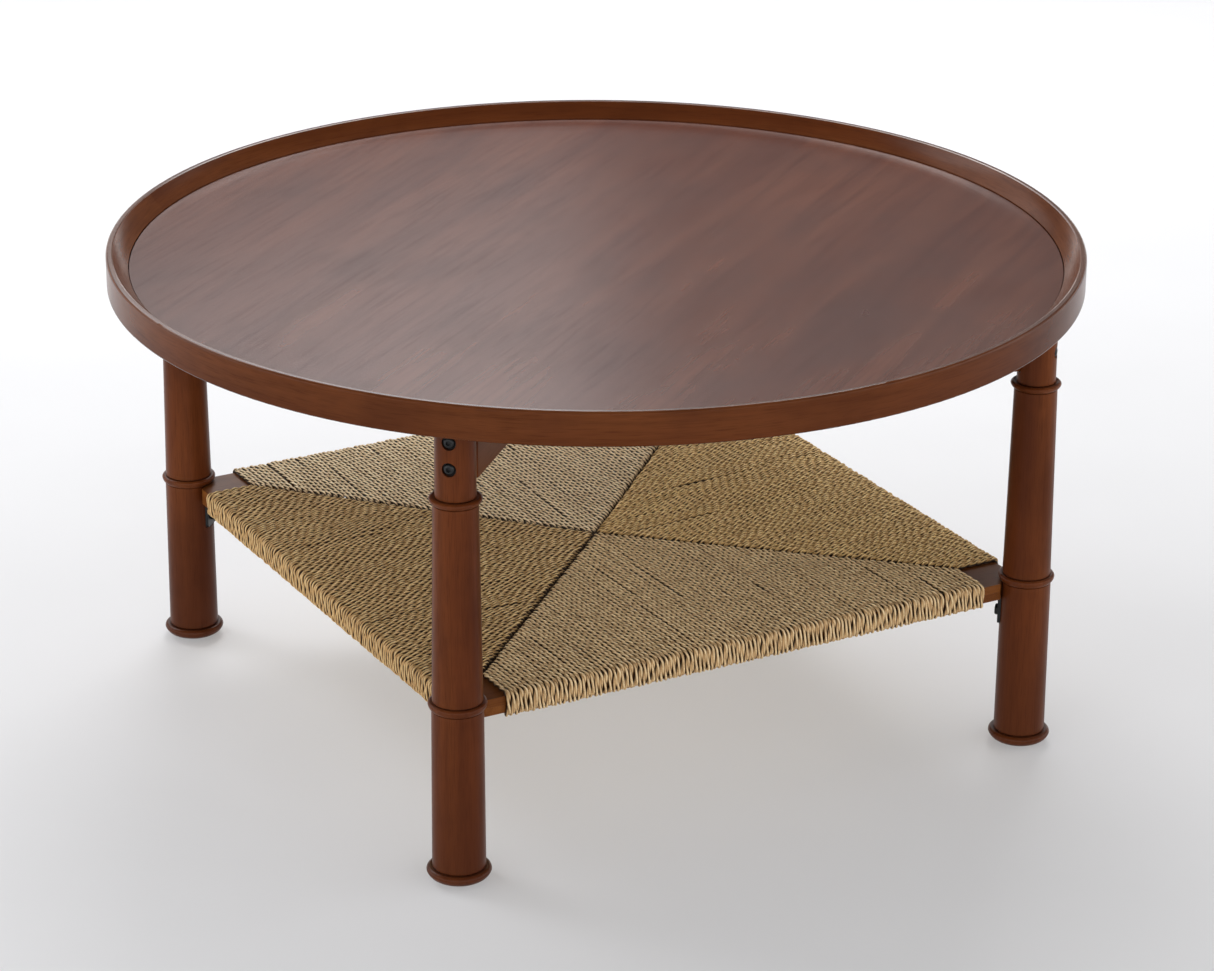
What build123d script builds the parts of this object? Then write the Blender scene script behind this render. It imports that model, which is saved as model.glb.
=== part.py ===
from build123d import *
import os
from math import hypot, sqrt

# Round coffee table, built as a knock-down assembly:
#   a round tray top (panel + four scarfed rim segments) on a halved cross of two beams,
#   four turned legs bolted to the beam ends, and a square frame with a woven cord shelf
#   held to the legs by steel angle brackets. Each leg stands on a screw-adjusted glide.
# Millimetres, +Z up, origin on the floor under the middle of the table.
# Legs stand on the diagonals, so the shelf frame's rails run along X and Y.

# ---------------------------------------------------------------- driving dimensions
TABLE_DIAMETER = 914.4
TABLE_HEIGHT = 462.8
LEG_CIRCLE_R = 421.65          # leg axis to table centre
GLUE_GAP = 0.05                # gap kept between parts that are glued or driven together

# tray
RIM_HEIGHT = 31.8
RIM_LIP = 5.7                  # flat-topped lip, measured in from the outer face
RIM_INNER_R = 437.0
RIM_EDGE_R = 2.2               # rounding of the rim's outer edges
COVE_SAG = 0.8                 # hollow of the sloping inner face
PANEL_THICKNESS = 16.0
PANEL_EDGE = 0.4               # bevel of the panel's upper edge
SLOPE_FOOT = 1.0               # upright step between the panel and the sloping face
SHADOW_GAP = 0.45              # open line between panel and rim
TONGUE_DEPTH = 6.6
TONGUE_THICKNESS = 6.0
SCARF_LENGTH = 62.0            # along the rim, over its full height

# cross beams
BEAM_WIDTH = 30.0
BEAM_DEPTH = 53.0
BEAM_FLAT = 13.0               # leg axis to the flat that the beam end butts
BEAM_END_CHAMFER = 4.0
BARREL_NUT_SETBACK = 28.0      # beam end to barrel nut axis

# legs
LEG_BOTTOM_Z = 4.0
FOOT_BOTTOM_R = 22.5
FOOT_BEAD_Z = 10.4
FOOT_BEAD_R = 29.0
FOOT_BEAD_TOP_Z = 14.2
LOWER_SHAFT_R = (24.0, 23.1)   # bottom, top
MID_RING_Z = (167.0, 172.2, 174.6)   # lower line, widest place, crease on top
MID_RING_R = 26.2
MIDDLE_SHAFT_R = (22.5, 20.0)
TOP_RING_Z = (359.8, 364.1, 366.0)
TOP_RING_R = 23.4
TOP_SHAFT_R = (18.1, 17.7)
CREASE = 0.7                   # width and depth of the turned creases

# leg bolts, M6 button head
BOLT_R = 3.0
BOLT_LENGTH = 70.0
BOLT_Z = (420.0, 396.0)
BOLT_SEAT = 12.9               # leg axis to the counterbore floor
BUTTON_HEAD_R = 5.25
BUTTON_HEAD_HEIGHT = 3.3
HEX_KEY = 4.0
WASHER_R = 6.0
WASHER_THICKNESS = 1.6
COUNTERBORE_R = 6.4
BOLT_HOLE_R = 3.3
BARREL_NUT_R = 5.0
BARREL_NUT_LENGTH = 14.0

# woven shelf and its frame
FRAME_HALF = 295.6             # centre to a rail's outer face
RAIL_WIDTH = 45.0
RAIL_HEIGHT = 16.0
RAIL_TOP_Z = 166.5
SHELF_FLAT = 20.8              # leg axis to the flat that the shelf corner butts
CORD_D = 4.6                   # cord diameter, which is the weave's thickness over a rail
CORD_START = 44.7              # bare wood left at each end of a rail
CORD_CLEARANCE = 0.3
SHELF_DIP = 8.0                # fall of the weave from rail to centre

# angle brackets and their fasteners
BRACKET_THICKNESS = 3.0
BRACKET_WIDTH = 22.0
BRACKET_DROP = 27.4
BRACKET_REACH = 30.0
BRACKET_BOLT_Z = 133.0
BRACKET_BOLT_LENGTH = 16.0
HEX_HEAD_AF = 10.0
HEX_HEAD_HEIGHT = 4.0
INSERT_R = 4.5
INSERT_LENGTH = 12.0
BRACKET_SCREW_SETBACK = 18.0   # leg-side edge of the bracket to the wood screws
BRACKET_SCREW_OFFSET = 7.0     # either side of the diagonal
BRACKET_SCREW_LENGTH = 13.0

# panel screws
SCREW_R = 2.0
SCREW_HEAD_R = 4.0
SCREW_HEAD_HEIGHT = 2.6
PANEL_SCREW_LENGTH = 40.0
PANEL_SCREW_RADII = (110.0, 290.0)
PANEL_SCREW_BITE = 12.0        # length inside the panel
SCREW_POCKET_R = 5.5

# levelling glides
PAD_R = 14.5
PAD_HEIGHT = 3.8
PAD_WALL = 1.1
STEM_R = 3.95
STEM_TOP_Z = 34.0
STEM_FLANGE_R = 5.5
STEM_FLANGE_HEIGHT = 1.4
SWIVEL_PLAY = 0.1
PAD_KEY_HOLE_R = 3.2
FOOT_INSERT_R = 6.0
FOOT_INSERT_LENGTH = 22.0
FOOT_INSERT_BORE_R = 4.0
STEM_WELL_R = 4.6
STEM_WELL_TOP_Z = 38.0

# ---------------------------------------------------------------- worked out from them
RIM_OUTER_R = TABLE_DIAMETER / 2
RIM_BOTTOM_Z = TABLE_HEIGHT - RIM_HEIGHT
RIM_MID_Z = TABLE_HEIGHT - RIM_HEIGHT / 2
PANEL_TOP_Z = RIM_BOTTOM_Z + PANEL_THICKNESS
PANEL_R = RIM_INNER_R - SHADOW_GAP
TONGUE_R = RIM_INNER_R + TONGUE_DEPTH
TONGUE_MID_Z = RIM_BOTTOM_Z + PANEL_THICKNESS / 2
BEAM_BOTTOM_Z = RIM_BOTTOM_Z - BEAM_DEPTH
BEAM_MID_Z = RIM_BOTTOM_Z - BEAM_DEPTH / 2
BEAM_HALF_LENGTH = LEG_CIRCLE_R - BEAM_FLAT
RAIL_BOTTOM_Z = RAIL_TOP_Z - RAIL_HEIGHT
RAIL_MID_Z = RAIL_TOP_Z - RAIL_HEIGHT / 2
RAIL_AXIS = FRAME_HALF - RAIL_WIDTH / 2
SHELF_CORNER_R = LEG_CIRCLE_R - SHELF_FLAT
BRACKET_BOTTOM_Z = RAIL_BOTTOM_Z - BRACKET_DROP
BRACKET_FACE = SHELF_FLAT + BRACKET_THICKNESS
BRACKET_SCREW_R = SHELF_CORNER_R - BRACKET_SCREW_SETBACK
SCREW_SEAT_Z = PANEL_SCREW_BITE + RIM_BOTTOM_Z - PANEL_SCREW_LENGTH
STEM_FLANGE_Z = PAD_WALL + SWIVEL_PLAY

CORNERS = {"back_right": 45, "back_left": 135, "front_left": 225, "front_right": 315}


# ---------------------------------------------------------------- helpers
def section_face(start, steps):
    """Closed face in the XZ plane. A step is an end point, or a (through, end) pair for an arc."""
    edges = []
    here = start
    for step in steps:
        if isinstance(step[0], tuple):
            edges.append(ThreePointArc(here, step[0], step[1]))
            here = step[1]
        else:
            edges.append(Line(here, step))
            here = step
    edges.append(Line(here, start))
    return Plane.XZ * make_face(edges)


def turned(start, steps):
    """Solid of revolution about Z from an outline given in (radius, height)."""
    return revolve(section_face(start, steps), Axis.Z)


def block(x, y, z):
    """Box given by its (low, high) limits on each axis."""
    size = Box(x[1] - x[0], y[1] - y[0], z[1] - z[0])
    return Pos((x[0] + x[1]) / 2, (y[0] + y[1]) / 2, (z[0] + z[1]) / 2) * size


def rod_x(radius, x, z=0.0):
    """Cylinder along X between the limits x, at height z."""
    return Pos((x[0] + x[1]) / 2, 0, z) * Rot(0, 90, 0) * Cylinder(radius, x[1] - x[0])


def rod_z(radius, z):
    """Cylinder along Z between the limits z."""
    return Pos(0, 0, (z[0] + z[1]) / 2) * Cylinder(radius, z[1] - z[0])


def at_corner(shape, angle):
    """Turn a shape that was drawn for the +X direction to the corner at this angle."""
    return Rot(0, 0, angle) * shape


def at_all_corners(shape):
    return Compound([at_corner(shape, angle) for angle in CORNERS.values()])


def save(name, shape):
    export_step(shape, f"parts/{name}.step")


# ---------------------------------------------------------------- tray
def tray_panel():
    """Round panel with a tongue all round its edge for the rim's groove."""
    disc = rod_z(PANEL_R, (RIM_BOTTOM_Z, PANEL_TOP_Z))
    disc = chamfer(disc.edges().filter_by(GeomType.CIRCLE).sort_by(Axis.Z)[-1], PANEL_EDGE)
    tongue_z = (TONGUE_MID_Z - TONGUE_THICKNESS / 2, TONGUE_MID_Z + TONGUE_THICKNESS / 2)
    panel = disc + rod_z(TONGUE_R, tongue_z)
    bite = (RIM_BOTTOM_Z - 1, RIM_BOTTOM_Z + PANEL_SCREW_BITE + 1)
    for angle in CORNERS.values():
        for radius in PANEL_SCREW_RADII:
            panel -= at_corner(Pos(radius, 0, 0) * rod_z(SCREW_R + GLUE_GAP, bite), angle)
    return panel


def rim_ring():
    """The whole rim: rounded lip, hollow slope down to the panel, groove for its tongue."""
    groove_half = TONGUE_THICKNESS / 2 + GLUE_GAP
    round_mid = RIM_EDGE_R * 0.36
    lip_in_r = RIM_OUTER_R - RIM_LIP
    slope_foot = (RIM_INNER_R, PANEL_TOP_Z + SLOPE_FOOT)
    slope_head = (lip_in_r - 0.6, TABLE_HEIGHT - 0.6)
    run = slope_head[0] - slope_foot[0]
    rise = slope_head[1] - slope_foot[1]
    slope = hypot(run, rise)
    slope_mid = (
        (slope_foot[0] + slope_head[0]) / 2 + COVE_SAG * rise / slope,
        (slope_foot[1] + slope_head[1]) / 2 - COVE_SAG * run / slope,
    )
    low, high = RIM_BOTTOM_Z, TABLE_HEIGHT
    steps = [
        (RIM_OUTER_R - RIM_EDGE_R, low),
        ((RIM_OUTER_R - round_mid, low + round_mid), (RIM_OUTER_R, low + RIM_EDGE_R)),
        (RIM_OUTER_R, high - RIM_EDGE_R),
        ((RIM_OUTER_R - round_mid, high - round_mid), (RIM_OUTER_R - RIM_EDGE_R, high)),
        (lip_in_r + 0.6, high),
        slope_head,
        (slope_mid, slope_foot),
        (RIM_INNER_R, TONGUE_MID_Z + groove_half),
        (TONGUE_R + 0.3, TONGUE_MID_Z + groove_half),
        (TONGUE_R + 0.3, TONGUE_MID_Z - groove_half),
        (RIM_INNER_R, TONGUE_MID_Z - groove_half),
    ]
    seam_turn = 135            # keeps the ring's start line away from the segment that is cut from it
    return Rot(0, 0, seam_turn) * turned((RIM_INNER_R, low), steps)


def rim_segment():
    """Quarter of the rim, from -Y round to +X, with a sloping scarf at both ends."""
    reach = RIM_OUTER_R + 20
    half_rise = RIM_HEIGHT / 2 + 2
    lean = half_rise * SCARF_LENGTH / RIM_HEIGHT
    start_side = Plane.XZ * make_face(Polyline(
        (GLUE_GAP / 2 - lean, -half_rise), (reach, -half_rise),
        (reach, half_rise), (GLUE_GAP / 2 + lean, half_rise), close=True))
    end_side = Plane.YZ * make_face(Polyline(
        (-reach, -half_rise), (-GLUE_GAP / 2 - lean, -half_rise),
        (-GLUE_GAP / 2 + lean, half_rise), (-reach, half_rise), close=True))
    keep = extrude(start_side, amount=reach, both=True) & extrude(end_side, amount=reach, both=True)
    return rim_ring() & (Pos(0, 0, RIM_MID_Z) * keep)


# ---------------------------------------------------------------- cross beams
def plain_beam():
    """Beam along X with bolt holes, barrel nut pockets and screw pockets, not yet halved."""
    half = BEAM_HALF_LENGTH
    beam = block((-half, half), (-BEAM_WIDTH / 2, BEAM_WIDTH / 2), (BEAM_BOTTOM_Z, RIM_BOTTOM_Z))
    beam = chamfer(beam.edges().filter_by(Axis.Z), BEAM_END_CHAMFER)
    for side in (0, 180):
        beam -= at_corner(beam_end_holes(), side)
        for radius in PANEL_SCREW_RADII:
            pocket = rod_z(SCREW_POCKET_R, (BEAM_BOTTOM_Z - 1, SCREW_SEAT_Z))
            hole = rod_z(SCREW_R + GLUE_GAP, (SCREW_SEAT_Z - 1, RIM_BOTTOM_Z + 1))
            beam -= at_corner(Pos(radius, 0, 0) * (pocket + hole), side)
    return beam


def beam_end_holes():
    """Two bolt holes in the end grain and a pocket for each barrel nut, one from above, one from below."""
    reach = BOLT_LENGTH - BOLT_SEAT - WASHER_THICKNESS - BEAM_FLAT + 4
    nut_x = BEAM_HALF_LENGTH - BARREL_NUT_SETBACK
    nut_half = BARREL_NUT_LENGTH / 2 + 1
    bolt_x = (BEAM_HALF_LENGTH - reach, BEAM_HALF_LENGTH + 1)
    holes = rod_x(BOLT_HOLE_R, bolt_x, BOLT_Z[0]) + rod_x(BOLT_HOLE_R, bolt_x, BOLT_Z[1])
    pocket_r = BARREL_NUT_R + GLUE_GAP
    holes += Pos(nut_x, 0, 0) * rod_z(pocket_r, (BOLT_Z[0] - nut_half, RIM_BOTTOM_Z + 1))
    holes += Pos(nut_x, 0, 0) * rod_z(pocket_r, (BEAM_BOTTOM_Z - 1, BOLT_Z[1] + nut_half))
    return holes


def halved_beam(notch_on_top):
    notch_half = BEAM_WIDTH / 2 + GLUE_GAP
    if notch_on_top:
        notch_z = (BEAM_MID_Z - GLUE_GAP, RIM_BOTTOM_Z + 1)
    else:
        notch_z = (BEAM_BOTTOM_Z - 1, BEAM_MID_Z)
    return plain_beam() - block((-notch_half, notch_half), (-BEAM_WIDTH, BEAM_WIDTH), notch_z)


# ---------------------------------------------------------------- legs
def ring_steps(ring_z, ring_r, below_r, above_r):
    """Turned ring: a fine line, a flank that swells to its widest place, a rounded shoulder and a crease."""
    line_z, widest_z, top_z = ring_z
    flank_mid = ((below_r + 0.5 + ring_r) / 2 + 0.5, (line_z + widest_z) / 2)
    shoulder_mid = (ring_r - 0.8, widest_z + (top_z - widest_z) * 0.72)
    return [
        (below_r, line_z - CREASE),
        (below_r - CREASE, line_z),
        (below_r + 0.5, line_z + CREASE / 2),
        (flank_mid, (ring_r, widest_z)),
        (shoulder_mid, (above_r + 1.2, top_z)),
        (above_r - CREASE, top_z),
        (above_r, top_z + CREASE),
    ]


def leg_blank():
    """The turned leg on its own axis, before any machining."""
    bead_under = (FOOT_BEAD_R - 2.2, (LEG_BOTTOM_Z + FOOT_BEAD_Z) / 2 - 0.6)
    bead_over = (FOOT_BEAD_R - 0.8, (FOOT_BEAD_Z + FOOT_BEAD_TOP_Z) / 2 + 0.6)
    steps = [(FOOT_BOTTOM_R, LEG_BOTTOM_Z)]
    steps.append((bead_under, (FOOT_BEAD_R, FOOT_BEAD_Z)))
    steps.append((bead_over, (FOOT_BEAD_R - 2.6, FOOT_BEAD_TOP_Z)))
    steps.append((LOWER_SHAFT_R[0] - CREASE, FOOT_BEAD_TOP_Z))
    steps.append((LOWER_SHAFT_R[0], FOOT_BEAD_TOP_Z + 2 * CREASE))
    steps += ring_steps(MID_RING_Z, MID_RING_R, LOWER_SHAFT_R[1], MIDDLE_SHAFT_R[0])
    steps += ring_steps(TOP_RING_Z, TOP_RING_R, MIDDLE_SHAFT_R[1], TOP_SHAFT_R[0])
    steps.append((TOP_SHAFT_R[1], RIM_BOTTOM_Z - 0.5))
    steps.append((TOP_SHAFT_R[1] - 0.5, RIM_BOTTOM_Z))
    steps.append((0, RIM_BOTTOM_Z))
    return turned((0, LEG_BOTTOM_Z), steps)


def leg():
    """Leg for the +X direction. The table's centre lies on its -X side."""
    body = leg_blank()
    wide = (-FOOT_BEAD_R, FOOT_BEAD_R)
    outside = -2 * FOOT_BEAD_R
    body -= block((outside, -BEAM_FLAT), wide, (BEAM_BOTTOM_Z - 1.5, RIM_BOTTOM_Z + 1))
    body -= block((outside, -SHELF_FLAT), wide, (BRACKET_BOTTOM_Z - 1.5, RAIL_TOP_Z + 0.3))
    for z in BOLT_Z:
        body -= rod_x(BOLT_HOLE_R, (outside, -outside), z)
        body -= rod_x(COUNTERBORE_R, (BOLT_SEAT, -outside), z)
    insert_end = -SHELF_FLAT + INSERT_LENGTH + 2
    body -= rod_x(INSERT_R + GLUE_GAP, (outside, insert_end), BRACKET_BOLT_Z)
    body -= rod_z(FOOT_INSERT_R + GLUE_GAP, (0, LEG_BOTTOM_Z + FOOT_INSERT_LENGTH + 0.5))
    body -= rod_z(STEM_WELL_R, (0, STEM_WELL_TOP_Z))
    return Pos(LEG_CIRCLE_R, 0, 0) * body


# ---------------------------------------------------------------- leg fasteners
def hex_prism(across_flats, height):
    return extrude(RegularPolygon(across_flats / sqrt(3), 6), amount=height)


def button_bolt():
    """Button head bolt: seat at z = 0, head above it, shank below."""
    r, h = BUTTON_HEAD_R, BUTTON_HEAD_HEIGHT
    steps = [(r, 0), (r, 0.5), ((r * 0.85, h * 0.72), (r * 0.55, h)), (0, h)]
    bolt = turned((0, 0), steps) + rod_z(BOLT_R, (1 - BOLT_LENGTH, 0))
    bolt += Pos(0, 0, 0.5 - BOLT_LENGTH) * Cone(BOLT_R - 0.8, BOLT_R, 1)
    return bolt - Pos(0, 0, h - 1.9) * hex_prism(HEX_KEY, 3)


def leg_bolts():
    bolt = Rot(0, 90, 0) * button_bolt()
    seat = LEG_CIRCLE_R + BOLT_SEAT + WASHER_THICKNESS
    return at_all_corners(Compound([Pos(seat, 0, z) * bolt for z in BOLT_Z]))


def leg_washers():
    seat = LEG_CIRCLE_R + BOLT_SEAT
    limits = (seat, seat + WASHER_THICKNESS)
    washer = rod_x(WASHER_R, limits) - rod_x(BOLT_HOLE_R, (seat - 1, seat + 3))
    return at_all_corners(Compound([Pos(0, 0, z) * washer for z in BOLT_Z]))


def barrel_nuts():
    nut_x = BEAM_HALF_LENGTH - BARREL_NUT_SETBACK
    nut = rod_z(BARREL_NUT_R, (-BARREL_NUT_LENGTH / 2, BARREL_NUT_LENGTH / 2))
    nut = chamfer(nut.edges().filter_by(GeomType.CIRCLE), 0.5)
    nut -= rod_x(BOLT_R + GLUE_GAP, (-BARREL_NUT_R - 1, BARREL_NUT_R + 1))
    return at_all_corners(Compound([Pos(nut_x, 0, z) * nut for z in BOLT_Z]))


def wood_screw(length):
    """Pan head screw: seat at z = 0, head below it, point upwards, cross recess in the head."""
    h = SCREW_HEAD_HEIGHT
    head = [(SCREW_HEAD_R - 1.2, -h), ((SCREW_HEAD_R - 0.3, -h * 0.7), (SCREW_HEAD_R, 0)), (0, 0)]
    point = 4.0
    screw = turned((0, -h), head) + rod_z(SCREW_R, (0, length - point))
    screw += Pos(0, 0, length - point / 2) * Cone(SCREW_R, 0.2, point)
    for angle in (0, 90):
        screw -= Pos(0, 0, -h) * Rot(0, 0, angle) * Box(4.4, 0.9, 2.4)
    return screw


def panel_screws():
    screw = wood_screw(PANEL_SCREW_LENGTH)
    pair = [Pos(radius, 0, SCREW_SEAT_Z) * screw for radius in PANEL_SCREW_RADII]
    return at_all_corners(Compound(pair))


# ---------------------------------------------------------------- shelf frame
def shelf_rail(tongue_on_top):
    """Rail along X on the -Y side. Its ends are halved to lap the next rails, corners cut square to the leg."""
    rail = block((-FRAME_HALF, FRAME_HALF), (-FRAME_HALF, RAIL_WIDTH - FRAME_HALF),
                 (RAIL_BOTTOM_Z, RAIL_TOP_Z))
    lap = FRAME_HALF - RAIL_WIDTH - GLUE_GAP
    if tongue_on_top:
        waste_z = (RAIL_BOTTOM_Z - 1, RAIL_MID_Z)
    else:
        waste_z = (RAIL_MID_Z - GLUE_GAP, RAIL_TOP_Z + 1)
    past_y = (-FRAME_HALF - 1, RAIL_WIDTH - FRAME_HALF + 1)
    for x in ((-FRAME_HALF - 1, -lap), (lap, FRAME_HALF + 1)):
        rail -= block(x, past_y, waste_z)
    corner = block((SHELF_CORNER_R, SHELF_CORNER_R + 60), (-60, 60), (RAIL_BOTTOM_Z - 1, RAIL_TOP_Z + 1))
    for angle in (CORNERS["front_left"], CORNERS["front_right"]):
        rail -= at_corner(corner, angle)
        for screw in bracket_screw_places():
            hole = rod_z(SCREW_R + GLUE_GAP, (-1, BRACKET_SCREW_LENGTH - BRACKET_THICKNESS + 0.5))
            rail -= at_corner(Pos(screw[0], screw[1], RAIL_BOTTOM_Z) * hole, angle)
    return rail


def woven_shelf():
    """Cord envelope round the four rails: thick over them, thinning to the centre, open at the corners."""
    bare = FRAME_HALF - CORD_START
    outer = FRAME_HALF + CORD_D
    low, high = RAIL_BOTTOM_Z - CORD_D, RAIL_TOP_Z + CORD_D
    strip = block((-outer, outer), (-bare, bare), (low, high))
    strip = fillet(strip.edges().filter_by(Axis.Y), CORD_D + 2)
    weave = strip + Rot(0, 0, 90) * strip
    inner = FRAME_HALF - RAIL_WIDTH
    for side in (0, 180):
        dip = loft([Pos(0, 0, high + 0.01 - RAIL_MID_Z) * Rectangle(2 * inner, 2 * inner),
                    Pos(0, 0, high - SHELF_DIP - RAIL_MID_Z) * Rectangle(4, 4)])
        weave -= Pos(0, 0, RAIL_MID_Z) * Rot(side, 0, 0) * dip
    tunnel_z = (RAIL_BOTTOM_Z - CORD_CLEARANCE, RAIL_TOP_Z + CORD_CLEARANCE)
    frame_out = FRAME_HALF + CORD_CLEARANCE
    frame_in = inner - CORD_CLEARANCE
    tunnel = block((-frame_out, frame_out), (-frame_out, frame_out), tunnel_z)
    tunnel -= block((-frame_in, frame_in), (-frame_in, frame_in), tunnel_z)
    return weave - tunnel


# ---------------------------------------------------------------- brackets
def bracket_screw_places():
    """Wood screws of one bracket, as (distance from the centre, offset from the diagonal)."""
    return [(BRACKET_SCREW_R, BRACKET_SCREW_OFFSET), (BRACKET_SCREW_R, -BRACKET_SCREW_OFFSET)]


def corner_bracket():
    """Steel angle: one leg flat on the table leg, the other under the shelf corner."""
    half = (-BRACKET_WIDTH / 2, BRACKET_WIDTH / 2)
    face = LEG_CIRCLE_R - BRACKET_FACE
    upright = block((face, SHELF_CORNER_R), half, (BRACKET_BOTTOM_Z, RAIL_BOTTOM_Z))
    flat_z = (RAIL_BOTTOM_Z - BRACKET_THICKNESS, RAIL_BOTTOM_Z)
    ledge = block((SHELF_CORNER_R - BRACKET_REACH, SHELF_CORNER_R), half, flat_z)
    bracket = upright + ledge
    bend = bracket.edges().filter_by(Axis.Y).sort_by_distance((face, 0, flat_z[0]))[0]
    bracket = fillet(bend, 1.5)
    ends = bracket.edges().filter_by(Axis.X).group_by(Axis.Z)[0]
    tips = bracket.edges().filter_by(Axis.Z).group_by(Axis.X)[0]
    bracket = fillet(list(ends) + list(tips), 2.5)
    bracket -= Pos(0, 0, BRACKET_BOLT_Z) * rod_x(BOLT_HOLE_R, (face - 1, SHELF_CORNER_R + 1))
    for place in bracket_screw_places():
        bracket -= Pos(place[0], place[1], 0) * rod_z(SCREW_R + 0.2, (flat_z[0] - 1, flat_z[1] + 1))
    return bracket


def bracket_bolts():
    """Hex head M6 bolts, driven outwards through the brackets into the legs."""
    bolt = hex_prism(HEX_HEAD_AF, HEX_HEAD_HEIGHT)
    crown = turned((0, 0), [(HEX_HEAD_AF * 0.48, 0), (HEX_HEAD_AF * 0.6, 1.2),
                            (HEX_HEAD_AF * 0.6, HEX_HEAD_HEIGHT), (0, HEX_HEAD_HEIGHT)])
    bolt = (bolt & crown) + rod_z(BOLT_R, (HEX_HEAD_HEIGHT, HEX_HEAD_HEIGHT + BRACKET_BOLT_LENGTH))
    seat = LEG_CIRCLE_R - BRACKET_FACE - HEX_HEAD_HEIGHT
    return at_all_corners(Pos(seat, 0, BRACKET_BOLT_Z) * Rot(0, 90, 0) * bolt)


def leg_inserts():
    start = LEG_CIRCLE_R - SHELF_FLAT + 0.3
    limits = (start, start + INSERT_LENGTH)
    insert = rod_x(INSERT_R, limits) - rod_x(BOLT_R + GLUE_GAP, (start - 1, start + INSERT_LENGTH + 1))
    return at_all_corners(Pos(0, 0, BRACKET_BOLT_Z) * insert)


def bracket_screws():
    screw = wood_screw(BRACKET_SCREW_LENGTH)
    seat_z = RAIL_BOTTOM_Z - BRACKET_THICKNESS
    pair = [Pos(place[0], place[1], seat_z) * screw for place in bracket_screw_places()]
    return at_all_corners(Compound(pair))


# ---------------------------------------------------------------- glides
def glide_pad():
    """Pad with a snap socket for the stem's flange and a key hole underneath."""
    steps = [(PAD_R - 1, 0), ((PAD_R - 0.3, 0.3), (PAD_R, 1)), (PAD_R, PAD_HEIGHT - 0.3),
             (PAD_R - 0.3, PAD_HEIGHT), (STEM_R + SWIVEL_PLAY, PAD_HEIGHT)]
    flange_top = STEM_FLANGE_Z + STEM_FLANGE_HEIGHT + SWIVEL_PLAY
    steps.append((STEM_R + SWIVEL_PLAY, flange_top))
    steps.append((STEM_FLANGE_R + SWIVEL_PLAY, flange_top))
    steps.append((STEM_FLANGE_R + SWIVEL_PLAY, PAD_WALL))
    steps.append((PAD_KEY_HOLE_R, PAD_WALL))
    return Pos(LEG_CIRCLE_R, 0, 0) * turned((PAD_KEY_HOLE_R, 0), steps)


def glide_stem():
    """Threaded stem with a flange held in the pad and a hex socket in its lower end."""
    flange = rod_z(STEM_FLANGE_R, (STEM_FLANGE_Z, STEM_FLANGE_Z + STEM_FLANGE_HEIGHT))
    stem = flange + rod_z(STEM_R, (STEM_FLANGE_Z, STEM_TOP_Z - 1))
    stem += Pos(0, 0, STEM_TOP_Z - 0.5) * Cone(STEM_R, STEM_R - 0.9, 1)
    stem -= Pos(0, 0, STEM_FLANGE_Z - 1) * hex_prism(HEX_KEY, 5)
    return Pos(LEG_CIRCLE_R, 0, 0) * stem


def foot_inserts():
    z = (LEG_BOTTOM_Z + 0.2, LEG_BOTTOM_Z + 0.2 + FOOT_INSERT_LENGTH)
    insert = rod_z(FOOT_INSERT_R, z) - rod_z(FOOT_INSERT_BORE_R, (z[0] - 1, z[1] + 1))
    return at_all_corners(Pos(LEG_CIRCLE_R, 0, 0) * insert)


# ---------------------------------------------------------------- write every node
def build_tray():
    save("tray_panel", tray_panel())
    segment = rim_segment()
    for index, place in enumerate(("front_right", "back_right", "back_left", "front_left")):
        save(f"rim_segment_{place}", Rot(0, 0, 90 * index) * segment)


def build_base():
    save("cross_beam_lower", at_corner(halved_beam(notch_on_top=True), CORNERS["back_right"]))
    save("cross_beam_upper", at_corner(halved_beam(notch_on_top=False), CORNERS["back_left"]))
    save("leg_bolts", leg_bolts())
    save("leg_washers", leg_washers())
    save("barrel_nuts", barrel_nuts())
    save("panel_screws", panel_screws())
    blank = leg()
    for corner, angle in CORNERS.items():
        save(f"leg_{corner}", at_corner(blank, angle))


def build_shelf():
    top_lap = shelf_rail(tongue_on_top=True)
    bottom_lap = shelf_rail(tongue_on_top=False)
    save("shelf_rail_front", top_lap)
    save("shelf_rail_right", Rot(0, 0, 90) * bottom_lap)
    save("shelf_rail_back", Rot(0, 0, 180) * top_lap)
    save("shelf_rail_left", Rot(0, 0, 270) * bottom_lap)
    save("woven_shelf", woven_shelf())
    bracket = corner_bracket()
    for corner, angle in CORNERS.items():
        save(f"corner_bracket_{corner}", at_corner(bracket, angle))
    save("bracket_bolts", bracket_bolts())
    save("leg_inserts", leg_inserts())
    save("bracket_screws", bracket_screws())


def build_glides():
    save("foot_inserts", foot_inserts())
    pad = glide_pad()
    stem = glide_stem()
    for corner, angle in CORNERS.items():
        save(f"glide_pad_{corner}", at_corner(pad, angle))
        save(f"glide_stem_{corner}", at_corner(stem, angle))


os.makedirs("parts", exist_ok=True)
build_tray()
build_base()
build_shelf()
build_glides()
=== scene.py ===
"""Round coffee table with a woven cord shelf: looks, stage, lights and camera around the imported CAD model.

Everything is in metres in the model's own frame: +Z up, origin on the floor under the table's centre.
The wood, steel and plastic pieces are the CAD nodes with procedural materials. The woven shelf is built
here as real two-ply cord, wound round the CAD rails, and stands for the plain CAD solid.
"""

import math

import bpy
import numpy as np
from mathutils import Matrix, Vector


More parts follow.
